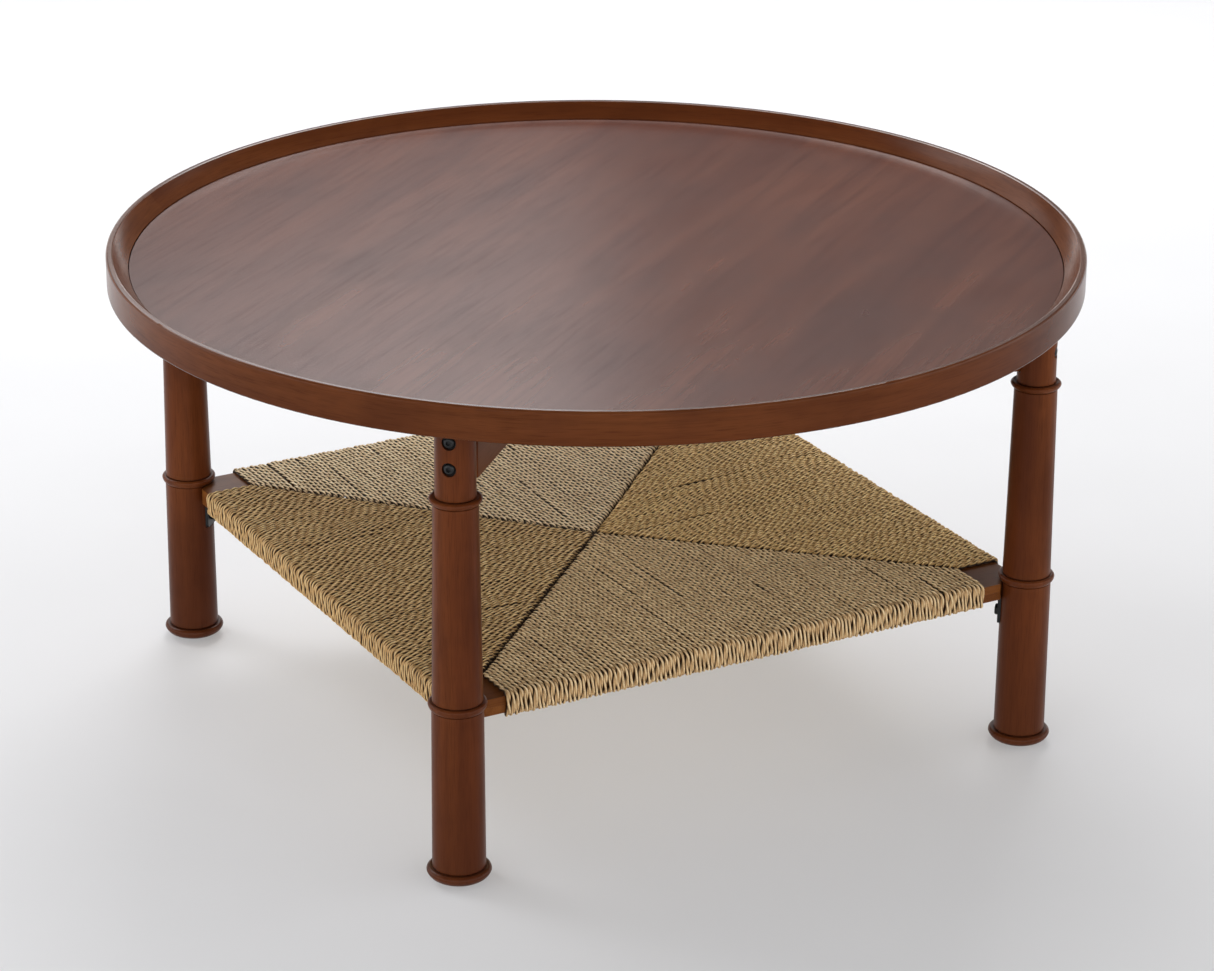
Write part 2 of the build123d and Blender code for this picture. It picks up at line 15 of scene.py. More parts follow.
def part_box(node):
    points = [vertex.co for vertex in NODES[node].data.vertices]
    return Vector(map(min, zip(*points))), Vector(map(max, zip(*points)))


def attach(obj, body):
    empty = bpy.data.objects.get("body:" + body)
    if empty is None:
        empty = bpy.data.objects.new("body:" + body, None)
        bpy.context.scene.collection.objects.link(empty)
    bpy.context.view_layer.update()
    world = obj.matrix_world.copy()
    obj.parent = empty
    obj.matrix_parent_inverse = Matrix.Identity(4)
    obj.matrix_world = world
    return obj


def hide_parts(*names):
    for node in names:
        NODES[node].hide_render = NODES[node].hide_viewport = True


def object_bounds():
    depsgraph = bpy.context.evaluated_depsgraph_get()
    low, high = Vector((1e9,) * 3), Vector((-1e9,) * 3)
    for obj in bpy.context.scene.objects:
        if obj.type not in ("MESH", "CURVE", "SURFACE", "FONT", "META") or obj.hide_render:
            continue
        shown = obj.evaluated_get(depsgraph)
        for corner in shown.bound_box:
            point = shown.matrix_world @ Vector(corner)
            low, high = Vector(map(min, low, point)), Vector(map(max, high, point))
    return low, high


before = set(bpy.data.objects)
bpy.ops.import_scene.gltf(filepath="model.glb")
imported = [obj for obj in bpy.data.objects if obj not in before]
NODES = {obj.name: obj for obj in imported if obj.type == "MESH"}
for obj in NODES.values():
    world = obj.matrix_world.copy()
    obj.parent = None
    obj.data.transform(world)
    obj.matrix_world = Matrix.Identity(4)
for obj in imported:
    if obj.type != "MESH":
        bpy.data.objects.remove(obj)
cad_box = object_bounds()

BODY = "table"
CORNERS = ("front_left", "front_right", "back_right", "back_left")
SIDES = ("front", "right", "back", "left")

# ---------------------------------------------------------------- sizes taken from the frame
RAIL_LOW, RAIL_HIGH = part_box("shelf_rail_front")
RAIL_OUTER = -RAIL_LOW.y
RAIL_INNER = -RAIL_HIGH.y
RAIL_TOP = RAIL_HIGH.z
SHELF_MID = (RAIL_LOW.z + RAIL_HIGH.z) / 2
RIM_R = cad_box[1][0]

# ---------------------------------------------------------------- woven cord
CORD_BARE = 0.0447             # bare wood at each end of a rail
CORD_PITCH = 0.0044            # spacing of neighbouring cords
PLY_R = 0.00126                # radius of one ply
PLY_OFFSET = 0.00110           # ply centre to cord centre
CORD_LIFT = 0.00255            # cord centre line above the wood it lies on
TWIST_PITCH = 0.0183           # one full turn of the plies
UNTWIST = 2.6                  # turn, in radians, that a taut cord loses on each side of a rail's face
UNTWIST_REACH = 0.013          # length of cord that loses most of it
PHASE_STEP = 2.5               # turn, in radians, between the twists of neighbouring cords
PHASE_SCATTER = 0.9            # random part of that turn
RING_STEP = 0.0017             # spacing of the cross-sections along a cord
LOBE_POINTS = 5                # points of a cross-section on each ply, besides the two creases
WRAP_R = 0.0040                # bend of the cord's centre line round a rail edge
WRAP_RINGS = 6                 # cross-sections round that bend
DIVE_R = 0.0042                # bend of the cord's centre line into a seam
DIVE_RINGS = 5                 # cross-sections round that bend
SEAM_GAP = 0.0021              # seam to the centre line of a diving cord
SEAM_CLEAR = 0.0004            # end of a cord's centre line above the shelf's middle plane
DIVE_CLEAR = 0.0006            # least height of the end of a bend above that plane
CENTRE_LIFT = 0.0030           # cord centre line above the shelf's middle plane at the shelf's centre
RUN_BLEND = 0.004              # rounding where the weave leaves the level of the rail
MAX_FACES = 90000              # quads in one piece of cord

# Irregularity of the cord. Slow and quick wander change along a cord, scatter from one cord to the next.
SEED = 101
SLOW = 22.0                    # cross-sections from one random value to the next
QUICK = 4.0
SIDEWAYS = (0.00028, 0.00016)  # slow and quick wander to the side
UPWARD = (0.00016, 0.00012)    # slow and quick wander up and down, or in and out on a rail's outer face
TWIST_WANDER = 0.9             # slow wander of the twist, in radians
SIZE_SCATTER = 0.03            # scatter of a cord's size, as a part of it
SIZE_WANDER = 0.05             # quick wander of its size, as a part of it
PLACE_WANDER = 0.10            # shift of whole cords, as a part of their spacing
PLACE_CELL = 3.0               # cords from one random shift to the next

# Places where two neighbouring cords have moved apart
PARTED = {"front": 20, "right": 12, "back": 20, "left": 9}   # how many there are in each quarter
WHOLE_EDGE = 4                 # cords at each end of a rail that stay together
GAP_START = (0.004, 0.20)      # seam to the near end of a gap
GAP_LENGTH = (0.02, 0.11)
GAP_WIDTH = (0.0007, 0.0019)
GAP_TAPER = 0.008              # length of its tapered ends
GAP_REACH = 2.4                # how many neighbouring cords move with the two


def smooth_noise(rng, count, length, cell):
    """Rows of length smooth random values between -1 and 1, with a knot every cell samples."""
    knots = rng.uniform(-1, 1, (count, int(length / cell) + 4))
    place = np.arange(length) / cell
    index = place.astype(int)
    t = place - index
    t = t * t * (3 - 2 * t)
    return knots[:, index] * (1 - t) + knots[:, index + 1] * t


def cord_section():
    """Polar outline of two touching plies: angles and radii, crease flags, and the way each point faces."""
    crease_r = math.sqrt(PLY_R**2 - PLY_OFFSET**2)
    crease_turn = math.atan2(crease_r, -PLY_OFFSET)
    turns = np.linspace(-crease_turn, crease_turn, LOBE_POINTS + 2)[:-1]
    x = PLY_OFFSET + PLY_R * np.cos(turns)
    y = PLY_R * np.sin(turns)
    x = np.concatenate([x, -x])
    y = np.concatenate([y, -y])
    crease = np.zeros(len(x), bool)
    crease[[0, LOBE_POINTS + 1]] = True
    facing = np.concatenate([turns, turns + math.pi])
    return np.arctan2(y, x), np.hypot(x, y), crease, facing


def half_path(u):
    """Centre line of half a cord as (v, z) points, from outside the rail over its edge to the seam."""
    top = RAIL_TOP + CORD_LIFT
    out = RAIL_OUTER + CORD_LIFT
    seam_v = abs(u) + SEAM_GAP
    points = []
    for z in np.arange(SHELF_MID, top - WRAP_R, RING_STEP):
        points.append((out, z))
    for turn in np.linspace(0, math.pi / 2, WRAP_RINGS):
        points.append((out - WRAP_R * (1 - math.cos(turn)), top - WRAP_R * (1 - math.sin(turn))))
    bend = min(DIVE_R, run_height(seam_v, top) - SHELF_MID - DIVE_CLEAR)
    end_v = seam_v + bend
    start_v = out - WRAP_R
    steps = max(int((start_v - end_v) / RING_STEP), 1)
    for v in np.linspace(start_v, end_v, steps + 1)[1:]:
        points.append((v, run_height(v, top)))
    end_z = points[-1][1]
    for turn in np.linspace(0, math.pi / 2, DIVE_RINGS)[1:]:
        points.append((end_v - bend * math.sin(turn), end_z - bend * (1 - math.cos(turn))))
    low_z = SHELF_MID + SEAM_CLEAR
    steps = int((end_z - bend - low_z) / RING_STEP)
    for z in np.linspace(end_z - bend, low_z, steps + 1)[1:]:
        points.append((seam_v, z))
    return np.array(points)


def run_height(v, top):
    """Height of the weave's centre line: level over the rail, then straight down to the shelf's centre."""
    centre = SHELF_MID + CENTRE_LIFT
    slope = (top - centre) / RAIL_INNER
    past = v - RAIL_INNER
    fall = 0.5 * (past - math.sqrt(past**2 + RUN_BLEND**2)) + RUN_BLEND / 2
    return top + slope * fall


def cord_line(u):
    """Whole centre line of a cord from the lower seam round the rail to the upper seam."""
    upper = half_path(u)
    lower = upper[::-1].copy()
    lower[:, 1] = 2 * SHELF_MID - lower[:, 1]
    return np.concatenate([lower[:-1], upper])


def parted_cords(rng, cords, count):
    """Places where two neighbouring cords have moved apart: (cord number, start, length, width)."""
    gaps = []
    for _ in range(count):
        first = int(rng.integers(WHOLE_EDGE, cords - 1 - WHOLE_EDGE))
        seam = abs(first + 0.5 - cords / 2) * CORD_PITCH
        start = seam + rng.uniform(*GAP_START)
        length = rng.uniform(*GAP_LENGTH)
        width = rng.uniform(*GAP_WIDTH)
        gaps.append((first, start, length, width))
    return gaps


def parting(gaps, number, v):
    """Sideways shift of one cord at distances v from the middle, from all the gaps near it."""
    shift = np.zeros(len(v))
    for first, start, length, width in gaps:
        apart = number - first - 0.5
        if abs(apart) > 4 * GAP_REACH:
            continue
        rise = np.clip((v - start) / GAP_TAPER, 0, 1)
        fall = np.clip((start + length - v) / GAP_TAPER, 0, 1)
        window = rise * rise * (3 - 2 * rise) * fall * fall * (3 - 2 * fall)
        shift += math.copysign(width / 2 * math.exp(-(abs(apart) - 0.5) / GAP_REACH), apart) * window
    return shift


def cord_axes(centre):
    """Distance along a cord from its middle, and the directions across and away from the shelf."""
    step = np.gradient(centre, axis=0)
    length = np.linalg.norm(step, axis=1)
    tangent = step / length[:, None]
    along = np.cumsum(length)
    along -= along[len(centre) // 2]
    side = np.array([1.0, 0.0, 0.0]) - tangent * tangent[:, :1]
    side /= np.linalg.norm(side, axis=1)[:, None]
    return along, side, np.cross(tangent, side)


def tube_quads(count, ring):
    """Quads between count rings of points, with ring points in each."""
    base = np.arange(count - 1)[:, None] * ring
    here = np.arange(ring)[None, :]
    after = (here + 1) % ring
    corners = [base + here, base + after, base + ring + after, base + ring + here]
    return np.stack(corners, 2).reshape(-1, 4)


def cord_mesh_arrays(u, number, gaps, rng, phase, tone):
    """Vertices, quads, crease flags and shading data of one cord, in the front side's (u, v, z) frame.

    The shading data of a point are its distance along the cord, how exposed it is, which sets the painted
    shade and painted highlights, and the cord's tone.
    """
    line = cord_line(u)
    count = len(line)
    slow = smooth_noise(rng, 3, count, SLOW)
    quick = smooth_noise(rng, 3, count, QUICK)
    centre = np.stack([np.full(count, u), line[:, 0], line[:, 1]], 1)
    centre[:, 0] += SIDEWAYS[0] * slow[0] + SIDEWAYS[1] * quick[0] + parting(gaps, number, line[:, 0])
    along, side, normal = cord_axes(centre)
    upward = np.sign(normal[:, 2:3] + 1e-9)
    centre += normal * (UPWARD[0] * slow[1] + UPWARD[1] * quick[1])[:, None] * upward

    turn = 2 * math.pi * along / TWIST_PITCH + phase + TWIST_WANDER * slow[2]
    turn -= UNTWIST * np.tanh(along / UNTWIST_REACH)
    angle, radius, crease, facing = cord_section()
    size = (1 + rng.uniform(-SIZE_SCATTER, SIZE_SCATTER) + SIZE_WANDER * quick[2])[:, None]
    a = angle[None, :] + turn[:, None]
    r = radius[None, :] * size
    verts = (centre[:, None, :] + side[:, None, :] * (r * np.cos(a))[:, :, None]
             + normal[:, None, :] * (r * np.sin(a))[:, :, None])

    # painted shade and highlights: exposed is high on a ply's outward crown, low in the valleys and where
    # the cord dives into a seam
    height = r * np.sin(a) / (PLY_OFFSET + PLY_R)
    dive = np.clip((abs(u) + SEAM_GAP + DIVE_R - line[:, 0]) / DIVE_R, 0, 1)[:, None]
    exposed = (0.5 * height + 0.5 * np.sin(facing[None, :] + turn[:, None])) * (1 - 0.9 * dive**2)
    data = np.stack(np.broadcast_arrays(along[:, None], exposed, tone), 2)
    ring = len(angle)
    crease_flags = np.broadcast_to(crease, (count, ring))
    quads = tube_quads(count, ring)
    return verts.reshape(-1, 3), quads, crease_flags.reshape(-1), data.reshape(-1, 3), ring


def turn_to_side(points, side):
    """Carry (u, v, z) points of the front side to the given side of the shelf."""
    u, v, z = points[:, 0], points[:, 1], points[:, 2]
    x, y = ((u, -v), (v, u), (-u, v), (-v, -u))[side]
    return np.stack([x, y, z], 1)


def mesh_object(name, verts, quads, caps):
    """Mesh object from arrays: quads, and n-sided caps given as lists of vertex indices."""
    mesh = bpy.data.meshes.new(name)
    cap_size = caps.shape[1]
    loops = np.concatenate([quads.reshape(-1), caps.reshape(-1)]).astype(np.int32)
    sizes = np.concatenate([np.full(len(quads), 4), np.full(len(caps), cap_size)])
    starts = np.concatenate([[0], np.cumsum(sizes)[:-1]]).astype(np.int32)
    mesh.vertices.add(len(verts))
    mesh.vertices.foreach_set("co", verts.astype(np.float32).reshape(-1))
    mesh.loops.add(len(loops))
    mesh.loops.foreach_set("vertex_index", loops)
    mesh.polygons.add(len(sizes))
    mesh.polygons.foreach_set("loop_start", starts)
    mesh.update(calc_edges=True)
    mesh.polygons.foreach_set("use_smooth", np.ones(len(sizes), bool))
    obj = bpy.data.objects.new(name, mesh)
    bpy.context.scene.collection.objects.link(obj)
    return obj


def mark_creases(mesh, crease):
    """Keep the valley between two plies sharp: an edge that joins two crease points along the cord."""
    ends = np.zeros(len(mesh.edges) * 2, np.int32)
    mesh.edges.foreach_get("vertices", ends)
    ends = ends.reshape(-1, 2)
    sharp = crease[ends[:, 0]] & crease[ends[:, 1]]
    layer = mesh.attributes.new("sharp_edge", "BOOLEAN", "EDGE")
    layer.data.foreach_set("value", sharp)


def cord_piece(name, parts, side, material):
    """One object made of several whole cords."""
    verts, quads, creases, data, caps = [], [], [], [], []
    base = 0
    for cord_verts, cord_quads, crease, shade, ring in parts:
        verts.append(turn_to_side(cord_verts, side))
        quads.append(cord_quads + base)
        creases.append(crease)
        data.append(shade)
        caps.append(base + np.arange(ring)[::-1])
        base += len(cord_verts)
        caps.append(base - ring + np.arange(ring))
    obj = mesh_object(name, np.concatenate(verts), np.concatenate(quads), np.array(caps))
    mark_creases(obj.data, np.concatenate(creases))
    layer = obj.data.attributes.new("cord", "FLOAT_VECTOR", "POINT")
    layer.data.foreach_set("vector", np.concatenate(data).astype(np.float32).reshape(-1))
    obj.data.materials.append(material)
    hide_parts("woven_shelf")
    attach(obj, BODY)
    return obj


def build_weave(materials):
    """Four quarters of cord, each wound over its own rail, split into pieces of whole cords."""
    half = RAIL_OUTER - CORD_BARE
    cords = round(2 * half / CORD_PITCH)
    pitch = 2 * half / cords
    for side, side_name in enumerate(SIDES):
        rng = np.random.default_rng(SEED + side)
        shifts = PLACE_WANDER * smooth_noise(rng, 1, cords, PLACE_CELL)[0]
        gaps = parted_cords(rng, cords, PARTED[side_name])
        phase = 0.0
        parts, faces, number = [], 0, 1
        for i in range(cords):
            u = -half + pitch * (i + 0.5 + shifts[i])
            phase += PHASE_STEP + rng.normal(0, PHASE_SCATTER)
            tone = rng.uniform(0, 1)
            part = cord_mesh_arrays(u, i, gaps, rng, phase, tone)
            if parts and faces + len(part[1]) > MAX_FACES:
                cord_piece(f"shelf_cord_{side_name}_{number}", parts, side, materials[side_name])
                parts, faces, number = [], 0, number + 1
            parts.append(part)
            faces += len(part[1])
        cord_piece(f"shelf_cord_{side_name}_{number}", parts, side, materials[side_name])


# ---------------------------------------------------------------- shader building
class Shader:
    """Small helper round a node tree. A value may be a number, a colour or another node's output."""

    def __init__(self, name, collection=bpy.data.materials):
        self.owner = collection.new(name)
        self.owner.use_nodes = True
        self.tree = self.owner.node_tree
        self.tree.nodes.clear()

    def put(self, kind, inputs=None, **settings):
        node = self.tree.nodes.new(kind)
        for key, value in settings.items():
            setattr(node, key, value)
        for key, value in (inputs or {}).items():
            if isinstance(value, bpy.types.NodeSocket):
                self.tree.links.new(value, node.inputs[key])
            else:
                node.inputs[key].default_value = value
        return node

    def place(self):
        return self.put("ShaderNodeNewGeometry").outputs["Position"]

    def split(self, vector):
        return self.put("ShaderNodeSeparateXYZ", {"Vector": vector}).outputs

    def join(self, x, y, z):
        return self.put("ShaderNodeCombineXYZ", {"X": x, "Y": y, "Z": z}).outputs["Vector"]

    def math(self, operation, a, b=0.0):
        return self.put("ShaderNodeMath", {0: a, 1: b}, operation=operation).outputs[0]

    def plus(self, a, b):
        return self.math("ADD", a, b)

    def minus(self, a, b):
        return self.math("SUBTRACT", a, b)

    def times(self, a, b):
        return self.math("MULTIPLY", a, b)

    def noise(self, vector, scale, detail, roughness, distortion=0.0):
        inputs = {"Vector": vector, "Scale": scale, "Detail": detail, "Roughness": roughness,
                  "Distortion": distortion}
        return self.put("ShaderNodeTexNoise", inputs).outputs["Fac"]

    def ramp(self, value, low, high, to_low=0.0, to_high=1.0):
        """Smooth step from to_low, where the value is low or less, to to_high, where it is high or more."""
        inputs = {"Value": value, "From Min": low, "From Max": high, "To Min": to_low, "To Max": to_high}
        return self.put("ShaderNodeMapRange", inputs, interpolation_type="SMOOTHSTEP").outputs[0]

    def mix(self, factor, a, b):
        """Colour a where the factor is 0, b where it is 1."""
        factor_input, a_input, b_input, colour_output = 0, 6, 7, 2
        inputs = {factor_input: factor, a_input: a, b_input: b}
        return self.put("ShaderNodeMix", inputs, data_type="RGBA").outputs[colour_output]

    def bump(self, height, distance, strength):
        inputs = {"Height": height, "Distance": distance, "Strength": strength}
        return self.put("ShaderNodeBump", inputs).outputs["Normal"]

    def surface(self, **inputs):
        names = {key.replace("_", " "): value for key, value in inputs.items()}
        shader = self.put("ShaderNodeBsdfPrincipled", names)
        self.put("ShaderNodeOutputMaterial", {"Surface": shader.outputs["BSDF"]})
        return self.owner


def srgb(red, green, blue):
    """Linear colour from display values of 0 to 255."""
    def linear(value):
        value /= 255
        return value / 12.92 if value <= 0.04045 else ((value + 0.055) / 1.055) ** 2.4
    return (linear(red), linear(green), linear(blue), 1.0)


# ---------------------------------------------------------------- wood
LEG_COLOURS = (srgb(52, 22, 10), srgb(86, 41, 16), srgb(104, 55, 24))       # dark, middle, light
RIM_COLOURS = (srgb(54, 23, 9), srgb(82, 40, 16), srgb(104, 58, 28))
RAIL_COLOURS = (srgb(62, 28, 12), srgb(106, 60, 24), srgb(126, 76, 34))
TRAY_COLOURS = (srgb(66, 32, 24), srgb(89, 46, 32), srgb(106, 60, 42))
CREASE_SHADE = srgb(34, 15, 9)   # painted shade in creases and corners
HOLLOW_WIDTH = 0.0018          # how wide those are
FOOT_SHADE_TOP = 0.20          # height below which the legs are painted darker, as shade towards the floor
SIDE_SPECULAR = 0.09           # painted reflection: upright faces reflect less than upward ones, standing in for the dim room they face

# Figures in the wood: changes per metre along and across the grain
BANDS = (1.6, 16.0)
STREAKS = (6.0, 120.0)
CLOUDS = (6.0, 9.0)
STROKES = (45.0, 1300.0)
TRAY_STROKES = (13.0, 190.0)
CLOUD_AMOUNT = 0.5             # how far the clouds darken the stain


def grain_space(shader, grain):
    """Position with the first axis along the grain: "up", "round", or an angle from +X in degrees.

    Round grain starts and ends at the rim's back left joint.
    """
    x, y, z = shader.split(shader.place())
    if grain == "up":
        return shader.join(z, x, y)
    if grain == "round":
        turn = shader.math("ARCTAN2", shader.plus(x, y), shader.minus(x, y))
        square = shader.plus(shader.times(x, x), shader.times(y, y))
        return shader.join(shader.times(turn, RIM_R), shader.math("SQRT", square), z)
    c, s = math.cos(math.radians(grain)), math.sin(math.radians(grain))
    forward = shader.plus(shader.times(x, c), shader.times(y, s))
    across = shader.minus(shader.times(y, c), shader.times(x, s))
    return shader.join(forward, across, z)


def stretched(shader, space, along, across):
    """Scale a grain space so that noise in it is drawn out along the grain."""
    a, b, c = shader.split(space)
    return shader.join(shader.times(a, along), shader.times(b, across), shader.times(c, across))


def painted_hollow_shade(s, colour):
    """Paint shade into the colour in creases and corners, where ambient occlusion finds the surroundings
    hidden.
    """
    node = s.put("ShaderNodeAmbientOcclusion", {"Distance": HOLLOW_WIDTH}, samples=6)
    hidden = s.ramp(node.outputs["AO"], 0.35, 0.85, 1.0, 0.0)
    return s.mix(s.times(hidden, 0.75), colour, CREASE_SHADE)


def wood_sheen(s, top_specular, strokes, clouds, streaks):
    """Shine of the lacquer: full on level faces that look up and low on upright ones, a painted reflection
    standing in for the dim room the upright faces see; dulled a little where the stain is darker.
    """
    facing = s.split(s.put("ShaderNodeNewGeometry").outputs["Normal"])["Z"]
    # painted reflection: the shine's strength is set by which way the face looks
    sheen = s.ramp(facing, 0.80, 0.97, SIDE_SPECULAR, top_specular)
    worn = s.plus(s.times(strokes, 0.18), s.times(clouds, 0.14))
    worn = s.plus(worn, s.times(streaks, 0.12))
    return s.times(sheen, s.minus(1.12, worn))


def stained_wood(name, grain, dark, mid, light, roughness=0.33, figure=0.6, top_specular=0.4,
                 stroke=STROKES, stroke_amount=0.4, relief=0.00002, foot_shade=0.0):
    """Stained hardwood under satin lacquer: faint long figure, fine strokes, cloudy stain, painted shade in
    creases and towards the floor, and a sheen painted stronger on upward faces.
    """
    s = Shader(name)
    space = grain_space(s, grain)
    bands = s.noise(stretched(s, space, *BANDS), 1.0, 4.0, 0.5, 0.4)
    streaks = s.noise(stretched(s, space, *STREAKS), 1.0, 4.0, 0.6, 0.3)
    strokes = s.noise(stretched(s, space, *stroke), 1.0, 2.0, 0.5)
    clouds = s.noise(stretched(s, space, *CLOUDS), 1.0, 4.0, 0.6)
    streak_mask = s.ramp(streaks, 0.40, 0.75)
    cloud_mask = s.ramp(clouds, 0.42, 0.72)
    stroke_mask = s.ramp(strokes, 0.48, 0.72)
    colour = s.mix(s.times(s.ramp(bands, 0.36, 0.66), figure), mid, light)
    colour = s.mix(s.times(streak_mask, 0.5 * figure), colour, dark)
    colour = s.mix(s.times(cloud_mask, CLOUD_AMOUNT), colour, dark)
    colour = s.mix(s.times(stroke_mask, stroke_amount), colour, dark)
    height = s.split(s.place())["Z"]
    # painted shade: darker towards the floor, by foot_shade at the bottom, fading out by FOOT_SHADE_TOP
    colour = s.mix(s.ramp(height, 0.0, FOOT_SHADE_TOP, foot_shade, 0.0), colour, dark)
    inputs = {"Base_Color": painted_hollow_shade(s, colour),
              "Roughness": s.plus(s.times(clouds, 0.10), roughness - 0.05),
              "Specular_IOR_Level": wood_sheen(s, top_specular, stroke_mask, cloud_mask, streak_mask)}
    if relief:
        inputs["Normal"] = s.bump(s.minus(s.times(streaks, 0.4), stroke_mask), relief, 0.3)
    return s.surface(**inputs)


# ---------------------------------------------------------------- cord, metal, plastic
CORD_HOLLOW_SHADE = srgb(42, 27, 14)   # painted shade in the hollows between plies and cords


def cord_material(name, shade, straw, pale_painted_light):
    """Twisted plant fibre: fibres along each ply, painted highlights on the crowns, and painted shade in the
    hollows between plies and cords and on the rail's outer face.
    """
    s = Shader(name)
    data = s.put("ShaderNodeAttribute", attribute_name="cord").outputs["Vector"]
    along, exposed, tone = s.split(data)
    fibre_space = s.join(s.times(along, 130.0), s.times(exposed, 5.0), s.times(tone, 40.0))
    fibre = s.noise(fibre_space, 1.0, 4.0, 0.7)
    patch = s.noise(s.place(), 34.0, 3.0, 0.6)
    colour = s.mix(s.ramp(fibre, 0.33, 0.66), shade, straw)
    colour = s.mix(s.times(s.ramp(patch, 0.45, 0.75), 0.35), colour, shade)
    colour = s.mix(s.times(tone, 0.25), colour, shade)
    # painted highlight: the crowns of the plies take the lightest colour, where the fibre is lighter
    crown_highlight = s.ramp(exposed, 0.52, 0.90)
    colour = s.mix(s.times(crown_highlight, s.ramp(fibre, 0.30, 0.60)), colour, pale_painted_light)
    # painted shade: the cord is darker where it runs over the rail's outer face
    outer_face_shade = s.ramp(s.math("ABSOLUTE", along), 0.009, 0.017, 0.55, 0.0)
    colour = s.mix(outer_face_shade, colour, shade)
    # painted shade: the darkest colour where a point is least exposed, in the hollows between plies and
    # cords and at the seams
    colour = s.mix(s.ramp(exposed, 0.14, 0.60), CORD_HOLLOW_SHADE, colour)
    normal = s.bump(fibre, 0.0005, 0.6)
    return s.surface(Base_Color=colour, Roughness=0.62, Normal=normal, Specular_IOR_Level=0.35)


def black_steel():
    s = Shader("black_steel")
    grain = s.noise(s.place(), 900.0, 3.0, 0.6)
    tint = s.mix(grain, srgb(16, 17, 18), srgb(40, 41, 42))
    rough = s.plus(s.times(grain, 0.2), 0.30)
    normal = s.bump(grain, 0.0001, 0.3)
    return s.surface(Base_Color=tint, Roughness=rough, Metallic=0.6, Normal=normal)


def zinc_steel():
    s = Shader("zinc_steel")
    grain = s.noise(s.place(), 500.0, 3.0, 0.6)
    tint = s.mix(grain, srgb(150, 150, 148), srgb(196, 194, 186))
    rough = s.plus(s.times(grain, 0.25), 0.25)
    return s.surface(Base_Color=tint, Roughness=rough, Metallic=1.0)


def black_plastic():
    s = Shader("black_plastic")
    grain = s.noise(s.place(), 1400.0, 2.0, 0.5)
    tint = s.mix(grain, srgb(20, 20, 20), srgb(34, 33, 32))
    normal = s.bump(grain, 0.0001, 0.4)
    return s.surface(Base_Color=tint, Roughness=0.55, Normal=normal)


def dress(material, *names):
    """Give CAD nodes a material."""
    for name in names:
        obj = NODES[name]
        if not obj.material_slots:
            obj.data.materials.append(material)
        for slot in obj.material_slots:
            slot.material = material


def at_corners(name):
    return [f"{name}_{corner}" for corner in CORNERS]


def dress_wood():
    tray_wood = stained_wood("tray_wood", 38, *TRAY_COLOURS, roughness=0.25, figure=0.8, top_specular=0.33,
                             stroke=TRAY_STROKES, stroke_amount=0.20, relief=0.0)
    rim_wood = stained_wood("rim_wood", "round", *RIM_COLOURS, roughness=0.22, top_specular=1.0)
    leg_wood = stained_wood("leg_wood", "up", *LEG_COLOURS, figure=0.7, foot_shade=0.5)
    dress(tray_wood, "tray_panel")
    dress(rim_wood, *at_corners("rim_segment"))
    dress(leg_wood, *at_corners("leg"))
    dress(stained_wood("beam_wood_a", 45, *LEG_COLOURS), "cross_beam_lower")
    dress(stained_wood("beam_wood_b", 135, *LEG_COLOURS), "cross_beam_upper")
    dress(stained_wood("rail_wood_x", 0, *RAIL_COLOURS), "shelf_rail_front", "shelf_rail_back")
    dress(stained_wood("rail_wood_y", 90, *RAIL_COLOURS), "shelf_rail_left", "shelf_rail_right")


def dress_hardware():
    dress(black_steel(), "leg_bolts", "leg_washers", "bracket_bolts", "bracket_screws",
          *at_corners("corner_bracket"))
    dress(zinc_steel(), "barrel_nuts", "panel_screws", "leg_inserts", "foot_inserts",
          *at_corners("glide_stem"))
    dress(black_plastic(), *at_corners("glide_pad"))


def cord_materials():
    """A copy of one cord's material for each quarter, as painted light: greyer on the front and back ones,
    more gold-toned on the sides and lightest on the back, standing in for how the light falls on each
    quarter.
    """
    front_painted_light = cord_material("cord_front_painted_light", srgb(164, 129, 86), srgb(222, 186, 132), srgb(255, 236, 192))
    right_painted_light = cord_material("cord_right_painted_light", srgb(168, 128, 76), srgb(228, 188, 120), srgb(252, 228, 170))
    pale_painted_light = cord_material("cord_back_painted_light", srgb(188, 156, 114), srgb(240, 212, 166), srgb(255, 244, 212))
    left_painted_light = cord_material("cord_left_painted_light", srgb(156, 116, 66), srgb(218, 178, 114), srgb(254, 230, 176))
    return {"front": front_painted_light, "right": right_painted_light, "back": pale_painted_light, "left": left_painted_light}


# ---------------------------------------------------------------- stage, lights, camera
VIEW_DIRECTION = (0.48, 0.876)            # the camera's level view direction
FLOOR_HALF = 16.0                         # half the side of the floor
FLOOR_SPAN = (-1.6, 2.0)                  # distances past the table between which the floor's glow grows
FLOOR_GLOW = (0.205, 0.27)
FRONT_LIGHT = (2.6, 0.22)                 # room light from the front and sides: low down, and overhead
BACK_LIGHT = (2.6, 0.22)                  # room light from behind: at the horizon, and above it
COOL = (0.98, 0.98, 1.0)
COOLER = (0.96, 0.98, 1.0)
CAMERA_PLACE = (-1.6339, -2.9918, 1.5978)
CAMERA_ANGLES = (-28.828, -22.13, 0.342)  # yaw from +Y, pitch and roll, in degrees
LENS = 113.37                             # in mm, on a sensor 36 mm wide


def looking_back(shader, x, y):
    """Distance of a point, or lean of a direction, along the camera's level view direction."""
    return shader.plus(shader.times(x, VIEW_DIRECTION[0]), shader.times(y, VIEW_DIRECTION[1]))


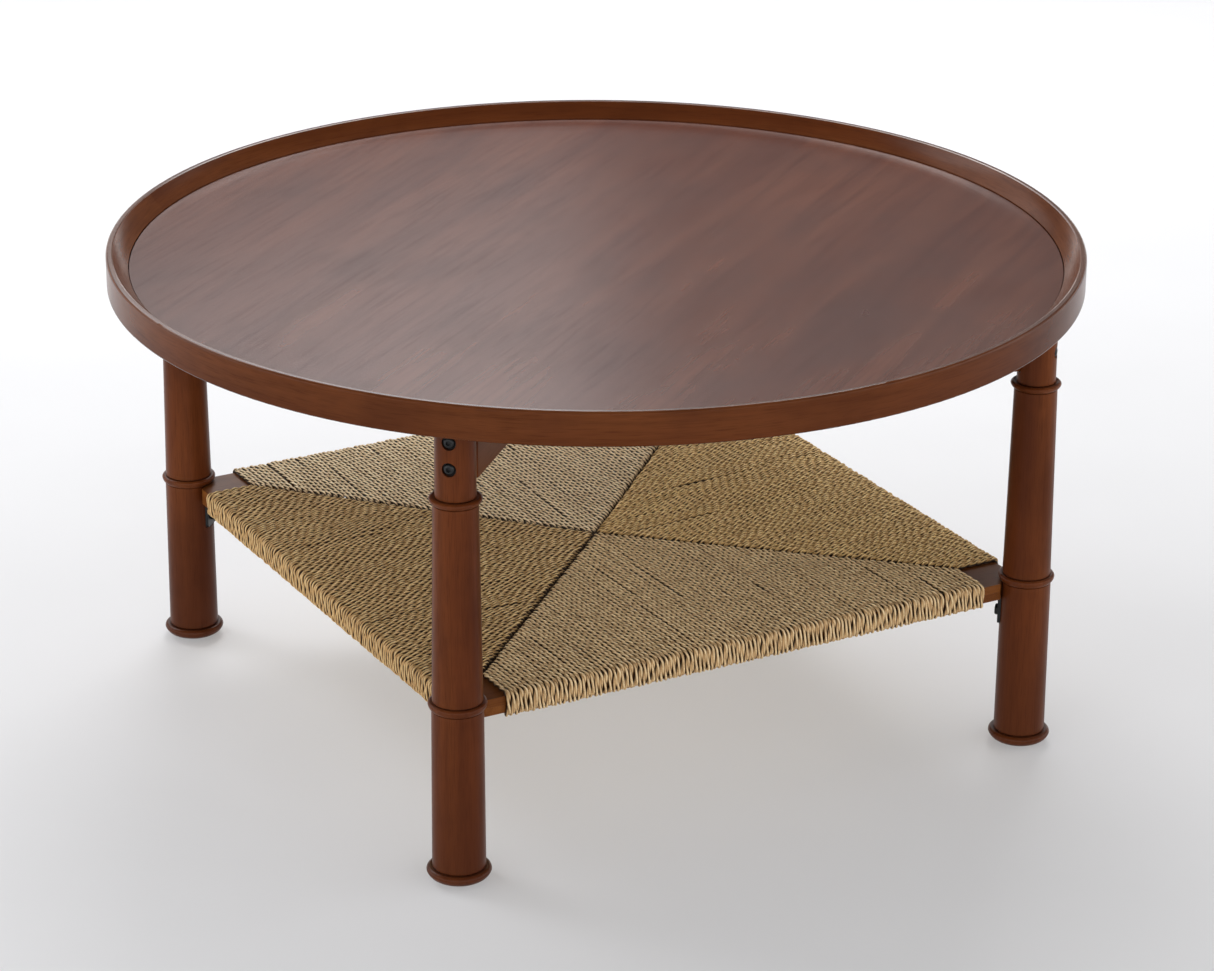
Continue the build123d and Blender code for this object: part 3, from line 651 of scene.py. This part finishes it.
def build_floor():
    """Pale floor that glows a little, more so towards the back."""
    h = FLOOR_HALF
    verts = np.array([(-h, -h, 0), (h, -h, 0), (h, h, 0), (-h, h, 0)])
    no_caps = np.zeros((0, 4), int)
    floor = mesh_object("floor", verts, np.array([[0, 1, 2, 3]]), no_caps)
    s = Shader("pale_floor")
    x, y, _ = s.split(s.place())
    glow = s.ramp(looking_back(s, x, y), *FLOOR_SPAN, *FLOOR_GLOW)
    speck = s.noise(s.place(), 3.0, 2.0, 0.5)
    tint = s.mix(speck, srgb(198, 198, 200), srgb(206, 206, 208))
    floor.data.materials.append(s.surface(Base_Color=tint, Roughness=0.7, Specular_IOR_Level=0.1,
                                          Emission_Color=(1, 1, 1, 1), Emission_Strength=glow))


def area_light(name, place, target, size, power, tint=(1, 1, 1)):
    data = bpy.data.lights.new(name, "AREA")
    data.shape = "RECTANGLE"
    data.size, data.size_y = size
    data.energy = power
    data.color = tint
    lamp = bpy.data.objects.new(name, data)
    bpy.context.scene.collection.objects.link(lamp)
    lamp.location = place
    lamp.rotation_euler = (Vector(target) - Vector(place)).to_track_quat("-Z", "Y").to_euler()


def build_world():
    """Soft room light, faint overhead. Behind the table it is bright only at the horizon."""
    s = Shader("studio", bpy.data.worlds)
    x, y, z = s.split(s.put("ShaderNodeTexCoord").outputs["Generated"])
    front = s.ramp(z, 0.40, 0.54, *FRONT_LIGHT)
    back = s.ramp(z, 0.04, 0.12, *BACK_LIGHT)
    behind = s.ramp(looking_back(s, x, y), 0.30, 0.75)
    front_part = s.times(front, s.minus(1.0, behind))
    strength = s.plus(front_part, s.times(back, behind))
    shader = s.put("ShaderNodeBackground", {"Color": (1, 1, 1, 1), "Strength": strength})
    s.put("ShaderNodeOutputWorld", {"Surface": shader.outputs["Background"]})
    bpy.context.scene.world = s.owner


def build_lights():
    """A wide scrim high up behind the table, a lamp to its left, and a soft lamp over the floor behind."""
    area_light("scrim", (-0.35, 3.0, 2.62), (-0.2, 0.0, 1.92), (4.3, 1.9), 43, COOL)
    area_light("back_left", (-1.9, 2.7, 2.9), (0.0, 0.0, 0.4), (1.6, 1.4), 26, COOLER)
    area_light("overhead", (1.4, 2.1, 3.2), (0.3, 0.1, 0.2), (2.2, 1.8), 70)


def build_camera():
    """Camera in front and to the left, above the table, with a long lens."""
    yaw, pitch, roll = (math.radians(angle) for angle in CAMERA_ANGLES)
    forward = Vector((-math.sin(yaw) * math.cos(pitch), math.cos(yaw) * math.cos(pitch), math.sin(pitch)))
    level = Vector((math.cos(yaw), math.sin(yaw), 0))
    upright = level.cross(forward)
    right = level * math.cos(roll) + upright * math.sin(roll)
    up = right.cross(forward)
    data = bpy.data.cameras.new("camera")
    data.sensor_width = 36.0
    data.lens = LENS
    camera = bpy.data.objects.new("camera", data)
    turn = Matrix((right, up, -forward)).transposed().to_4x4()
    camera.matrix_world = Matrix.Translation(CAMERA_PLACE) @ turn
    bpy.context.scene.collection.objects.link(camera)
    bpy.context.scene.camera = camera


build_weave(cord_materials())
dress_wood()
dress_hardware()
build_floor()
build_world()
build_lights()
build_camera()
bpy.context.scene.view_settings.view_transform = "Standard"
